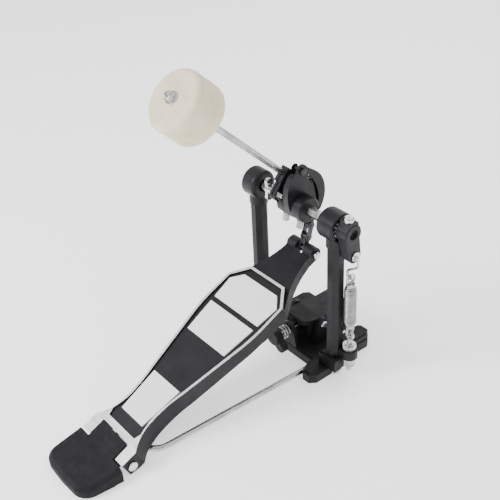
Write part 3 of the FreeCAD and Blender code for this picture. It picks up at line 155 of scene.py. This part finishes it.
# ------------------------------------------------------------------ materials
class Look:
    """A node material on the object's own coordinates, in metres."""

    def __init__(self, name, metallic=0.0, roughness=0.5, coat=0.0, sheen=0.0, specular=0.5):
        self.mat = bpy.data.materials.new(name)
        self.mat.use_nodes = True
        self.tree = self.mat.node_tree
        self.shader = self.tree.nodes["Principled BSDF"]
        self.shader.inputs["Metallic"].default_value = metallic
        self.shader.inputs["Roughness"].default_value = roughness
        self.shader.inputs["Coat Weight"].default_value = coat
        self.shader.inputs["Sheen Weight"].default_value = sheen
        self.shader.inputs["Specular IOR Level"].default_value = specular
        self.coords = self.tree.nodes.new("ShaderNodeTexCoord")
        self.height = None

    def link(self, a, b):
        self.tree.links.new(a, b)

    def noise(self, scale, detail=4.0, rough=0.55, stretch=None):
        node = self.tree.nodes.new("ShaderNodeTexNoise")
        node.inputs["Scale"].default_value = scale
        node.inputs["Detail"].default_value = detail
        node.inputs["Roughness"].default_value = rough
        source = self.coords.outputs["Object"]
        if stretch:
            mapping = self.tree.nodes.new("ShaderNodeMapping")
            mapping.inputs["Scale"].default_value = stretch
            self.link(source, mapping.inputs["Vector"])
            source = mapping.outputs["Vector"]
        self.link(source, node.inputs["Vector"])
        return node.outputs["Fac"]

    def cells(self, scale):
        node = self.tree.nodes.new("ShaderNodeTexVoronoi")
        node.inputs["Scale"].default_value = scale
        self.link(self.coords.outputs["Object"], node.inputs["Vector"])
        return node.outputs["Distance"]

    def ramp(self, value, stops):
        node = self.tree.nodes.new("ShaderNodeValToRGB")
        band = node.color_ramp
        while len(band.elements) < len(stops):
            band.elements.new(0.5)
        for element, (place, colour) in zip(band.elements, stops):
            element.position = place
            element.color = (*colour, 1)
        self.link(value, node.inputs["Fac"])
        return node.outputs["Color"]

    def span(self, value, low, high, to_low, to_high):
        node = self.tree.nodes.new("ShaderNodeMapRange")
        for key, number in (("From Min", low), ("From Max", high), ("To Min", to_low),
                            ("To Max", to_high)):
            node.inputs[key].default_value = number
        self.link(value, node.inputs["Value"])
        return node.outputs["Result"]

    def math(self, operation, a, b=None):
        node = self.tree.nodes.new("ShaderNodeMath")
        node.operation = operation
        for slot, value in ((0, a), (1, b)):
            if value is None:
                continue
            if isinstance(value, (int, float)):
                node.inputs[slot].default_value = value
            else:
                self.link(value, node.inputs[slot])
        return node.outputs["Value"]

    def mix(self, fac, a, b):
        node = self.tree.nodes.new("ShaderNodeMix")
        node.data_type = "RGBA"
        self.link(fac, node.inputs["Factor"])
        for key, value in ((6, a), (7, b)):
            if isinstance(value, tuple):
                node.inputs[key].default_value = (*value, 1)
            else:
                self.link(value, node.inputs[key])
        return node.outputs[2]

    def along(self, vector, output="Object", start=None):
        """Distance of a point along a fixed direction of the model, in metres."""
        source = self.coords.outputs[output]
        if start is not None:
            shift = self.tree.nodes.new("ShaderNodeVectorMath")
            shift.operation = "SUBTRACT"
            self.link(source, shift.inputs[0])
            shift.inputs[1].default_value = start
            source = shift.outputs["Vector"]
        node = self.tree.nodes.new("ShaderNodeVectorMath")
        node.operation = "DOT_PRODUCT"
        self.link(source, node.inputs[0])
        node.inputs[1].default_value = vector
        return node.outputs["Value"]

    def bump(self, value, depth, strength=1.0):
        node = self.tree.nodes.new("ShaderNodeBump")
        node.inputs["Strength"].default_value = strength
        node.inputs["Distance"].default_value = depth
        self.link(value, node.inputs["Height"])
        if self.height is not None:
            self.link(self.height, node.inputs["Normal"])
        self.height = node.outputs["Normal"]
        self.link(self.height, self.shader.inputs["Normal"])

    def set(self, **values):
        names = {"colour": "Base Color", "roughness": "Roughness", "metallic": "Metallic"}
        for key, value in values.items():
            self.link(value, self.shader.inputs[names[key]])
        return self


def black_paint(name, dark, light, rough=0.42, grain=0.00006):
    look = Look(name, roughness=rough, coat=0.02, specular=0.18)
    cloud = look.noise(38, 5)
    fine = look.noise(1900, 3, 0.6)
    look.set(colour=look.ramp(cloud, [(0.3, dark), (0.72, light)]),
             roughness=look.span(look.noise(120, 4), 0.3, 0.7, rough - 0.07, rough + 0.1))
    look.bump(fine, grain)
    return look.mat


def metal(name, dark, light, rough, brush=None, grain=0.00002):
    look = Look(name, metallic=1.0, roughness=rough)
    streak = look.noise(420, 3, 0.5, brush) if brush else look.noise(160, 4)
    look.set(colour=look.ramp(streak, [(0.3, dark), (0.7, light)]),
             roughness=look.span(look.noise(230, 4), 0.3, 0.7, rough * 0.75, rough * 1.4))
    look.bump(look.noise(900, 3, 0.5, brush), grain)
    return look.mat


def board_casting():
    """Black cast footboard whose level top faces are ground bright."""
    look = Look("board_casting", roughness=0.4, specular=0.18)
    lift = look.along(BOARD_NORMAL, start=BOARD_START)
    facing = look.along(BOARD_NORMAL, "Normal")
    high = look.math("MULTIPLY", look.math("GREATER_THAN", lift, RIM_LEVEL),
                     look.math("GREATER_THAN", facing, LEVEL_FACING))
    floor = look.math("MULTIPLY", look.math("GREATER_THAN", lift, PANEL_LEVEL),
                      look.math("GREATER_THAN", facing, LEVEL_FACING))
    paint = look.ramp(look.noise(38, 5), [(0.3, (0.007, 0.007, 0.009)),
                                          (0.72, (0.016, 0.016, 0.019))])
    recess = look.ramp(look.noise(55, 6), [(0.3, (0.010, 0.010, 0.012)),
                                           (0.75, (0.016, 0.016, 0.019))])
    silver = look.ramp(look.noise(260, 4, 0.6, (0.15, 1, 1)),
                       [(0.3, (0.62, 0.62, 0.63)), (0.7, (0.86, 0.86, 0.87))])
    look.set(colour=look.mix(high, look.mix(floor, paint, recess), silver),
             metallic=look.math("MULTIPLY", high, 0.85),
             roughness=look.math("SUBTRACT", look.span(look.noise(140, 4), 0.3, 0.7, 0.36, 0.5),
                                 look.math("MULTIPLY", high, 0.1)))
    look.bump(look.noise(1700, 3), 0.00005)
    return look.mat


def grip_sheet():
    look = Look("grip_sheet", roughness=0.75, specular=0.3)
    grit = look.cells(900)
    look.set(colour=look.mix(look.span(grit, 0.1, 0.6, 0, 1),
                             look.ramp(look.noise(60, 5), [(0.3, (0.80, 0.80, 0.80)),
                                                           (0.7, (0.90, 0.90, 0.90))]),
                             (0.95, 0.95, 0.95)),
             roughness=look.span(look.noise(300, 3), 0.3, 0.7, 0.65, 0.85))
    look.bump(grit, 0.00022, 0.8)
    return look.mat


def moulded_rubber(name="moulded_rubber", dark=(0.006, 0.006, 0.007), light=(0.015, 0.015, 0.016)):
    look = Look(name, roughness=0.72, specular=0.15)
    look.set(colour=look.ramp(look.noise(70, 5), [(0.3, dark), (0.72, light)]),
             roughness=look.span(look.noise(200, 4), 0.3, 0.7, 0.62, 0.85))
    look.bump(look.noise(1300, 3), 0.00009)
    return look.mat


def pressed_felt():
    look = Look("pressed_felt", roughness=0.96, sheen=0.15, specular=0.1)
    cloud = look.noise(45, 6, 0.6)
    hairs = look.noise(620, 8, 0.75, (1, 1, 1))
    tone = look.ramp(cloud, [(0.28, (0.64, 0.54, 0.33)), (0.5, (0.77, 0.68, 0.47)),
                             (0.75, (0.86, 0.78, 0.58))])
    look.set(colour=look.mix(look.span(hairs, 0.35, 0.7, 0, 0.5), tone, (0.90, 0.85, 0.68)),
             roughness=look.span(hairs, 0.3, 0.7, 0.88, 1.0))
    look.bump(look.noise(260, 6, 0.7), 0.0009, 0.7)
    look.bump(hairs, 0.0005, 0.8)
    return look.mat


# ------------------------------------------------------------------ detailed pieces
def link_mesh(name, mesh, material, node):
    """A smooth-shaded piece that takes the place of a CAD node."""
    item = bpy.data.objects.new(name, mesh)
    bpy.context.scene.collection.objects.link(item)
    mesh.materials.append(material)
    mesh.polygons.foreach_set("use_smooth", [True] * len(mesh.polygons))
    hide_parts(node)
    return item


def tube(path, radius, sides):
    """A round bar swept along a list of points, turned without twist."""
    mesh = bmesh.new()
    rings = []
    tangent = (path[1] - path[0]).normalized()
    normal = tangent.orthogonal().normalized()
    for i, point in enumerate(path):
        ahead = path[min(i + 1, len(path) - 1)] - path[max(i - 1, 0)]
        new_tangent = ahead.normalized()
        normal = (tangent.rotation_difference(new_tangent) @ normal).normalized()
        tangent = new_tangent
        binormal = tangent.cross(normal)
        angles = (2 * math.pi * k / sides for k in range(sides))
        rings.append([mesh.verts.new(point + radius * (math.cos(a) * normal
                                                       + math.sin(a) * binormal))
                      for a in angles])
    for a, b in zip(rings, rings[1:]):
        for k in range(sides):
            mesh.faces.new((a[k], a[(k + 1) % sides], b[(k + 1) % sides], b[k]))
    mesh.faces.new(list(reversed(rings[0])))
    mesh.faces.new(rings[-1])
    mesh.normal_update()
    return mesh


def to_data(mesh, name):
    data = bpy.data.meshes.new(name)
    bmesh.ops.recalc_face_normals(mesh, faces=mesh.faces)
    mesh.to_mesh(data)
    mesh.free()
    return data


def return_spring(material):
    """Close-wound tension spring with its first and last turns drawn in."""
    low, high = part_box("tension_spring")
    centre = (low + high) / 2
    outer = (high.x - low.x) / 2
    turns = int((high.z - low.z) / (WIRE * COIL_PITCH))
    steps = turns * 20
    path = []
    for i in range(steps + 1):
        share = i / steps
        angle = 2 * math.pi * turns * share
        end = min(share, 1 - share) * turns
        radius = (outer - WIRE / 2) * (END_SHARE + (1 - END_SHARE) * min(end / END_TURNS, 1.0))
        path.append(Vector((centre.x + radius * math.cos(angle),
                            centre.y + radius * math.sin(angle),
                            low.z + WIRE / 2 + share * (high.z - low.z - WIRE))))
    item = link_mesh("return_spring_coil", to_data(tube(path, WIRE / 2, 8), "return_spring_coil"),
                     material, "tension_spring")
    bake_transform(item)


def beater_felt(material):
    """Pressed felt drum with softly rounded edges and a slightly uneven surface."""
    axis = ROD_LINE
    side = Vector((1, 0, 0))
    other = axis.cross(side)
    heights = [(v.co - ROD_START).dot(axis) for v in nodes["beater_felt"].data.vertices]
    low, top = min(heights), max(heights)
    length = top - low
    inner = FELT_RADIUS - FELT_EDGE
    steps = 8
    quarter = [math.pi / 2 * i / steps for i in range(steps + 1)]
    rise = [(i + 1) / 6 for i in range(6)]
    profile = [(FELT_BORE, low)]
    profile += [(FELT_BORE + (inner - FELT_BORE) * share, low) for share in rise]
    profile += [(inner + FELT_EDGE * math.sin(a), low + FELT_EDGE - FELT_EDGE * math.cos(a))
                for a in quarter[1:]]
    profile += [(FELT_RADIUS, low + FELT_EDGE + (length - 2 * FELT_EDGE) * i / 12)
                for i in range(1, 12)]
    profile += [(inner + FELT_EDGE * math.cos(a), top - FELT_EDGE + FELT_EDGE * math.sin(a))
                for a in quarter]
    profile += [(inner - (inner - FELT_BORE) * share, top) for share in rise]
    mesh = bmesh.new()
    count = 144
    rings = []
    for r, s in profile:
        ring = []
        for k in range(count):
            a = 2 * math.pi * k / count
            wobble = (0.00022 * math.sin(3 * a + 90 * s) + 0.00016 * math.sin(7 * a - 160 * s)
                      + 0.0001 * math.sin(13 * a + 410 * s)) * min(1, (r - FELT_BORE) / 0.01)
            sag = 0.0003 * math.cos(5 * a + 1.3) * min(1, (r - FELT_BORE) / 0.012)
            lift = -abs(sag) if s > top - 0.0001 else abs(sag) if s < low + 0.0001 else 0.0
            ring.append(mesh.verts.new(ROD_START + axis * (s + lift) + (r - abs(wobble))
                                       * (math.cos(a) * side + math.sin(a) * other)))
        rings.append(ring)
    for a, b in zip(rings, rings[1:] + rings[:1]):
        for k in range(count):
            mesh.faces.new((a[k], a[(k + 1) % count], b[(k + 1) % count], b[k]))
    item = link_mesh("beater_felt_drum", to_data(mesh, "beater_felt_drum"), material,
                     "beater_felt")
    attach(item, "beater")


# ------------------------------------------------------------------ assemble the scene
camera()
studio()

black = black_paint("black_enamel", (0.006, 0.006, 0.008), (0.014, 0.014, 0.017))
black_hub = black_paint("black_hub", (0.008, 0.008, 0.010), (0.018, 0.018, 0.021), 0.36)
black_base = black_paint("black_base", (0.005, 0.005, 0.006), (0.012, 0.012, 0.014), 0.48, 0.00012)
black_steel = metal("black_oxide", (0.025, 0.025, 0.028), (0.07, 0.07, 0.075), 0.36)
chrome = metal("chrome_plate", (0.50, 0.50, 0.51), (0.72, 0.72, 0.73), 0.16)
bright_bar = metal("bright_bar", (0.34, 0.34, 0.35), (0.56, 0.56, 0.57), 0.24, (1, 0.12, 0.12))
zinc = metal("zinc_plate", (0.32, 0.32, 0.33), (0.54, 0.54, 0.55), 0.30)
screw_steel = metal("screw_steel", (0.20, 0.20, 0.21), (0.40, 0.40, 0.41), 0.32)
spring_steel = metal("spring_steel", (0.28, 0.28, 0.29), (0.48, 0.48, 0.49), 0.34)
race_steel = metal("race_steel", (0.42, 0.42, 0.43), (0.66, 0.66, 0.67), 0.22)
grips = grip_sheet()
rubber = moulded_rubber()
heel_paint = moulded_rubber("heel_moulding", (0.011, 0.011, 0.013), (0.017, 0.017, 0.020))
plastic = black_paint("knob_plastic", (0.005, 0.005, 0.006), (0.012, 0.012, 0.013), 0.5, 0.00008)

MATERIALS = {
    "base_casting": black_base, "clamp_jaw": black_base, "post_left": black, "post_right": black,
    "hub_left": black_hub, "hub_right": black_hub, "beater_hub": black_hub,
    "drive_cam": black_hub, "spring_lever": black_hub, "footboard": board_casting(),
    "pad_heel": grips, "pad_middle": grips, "pad_toe": grips, "heel_plate": heel_paint,
    "heel_rubber": rubber, "base_rubber": rubber, "jaw_rubber": rubber, "clamp_knob": plastic,
    "tie_rod_frame": bright_bar, "beater_rod": bright_bar, "axle": bright_bar,
    "tension_rod": zinc, "tension_nut": zinc, "lock_nut": zinc, "clamp_spring": zinc,
    "hub_screws": screw_steel,
    "spring_top_hook": spring_steel, "spring_foot_hook": spring_steel, "post_bolts": zinc,
    "bearing_left_outer_race": race_steel, "bearing_left_inner_race": race_steel,
    "bearing_left_balls": race_steel, "bearing_right_outer_race": race_steel,
    "bearing_right_inner_race": race_steel, "bearing_right_balls": race_steel,
}
for name, obj in nodes.items():
    if name.startswith("chain_"):
        look = black_steel
    else:
        look = MATERIALS.get(name, chrome)
    obj.data.materials.clear()
    obj.data.materials.append(look)

return_spring(spring_steel)
beater_felt(pressed_felt())
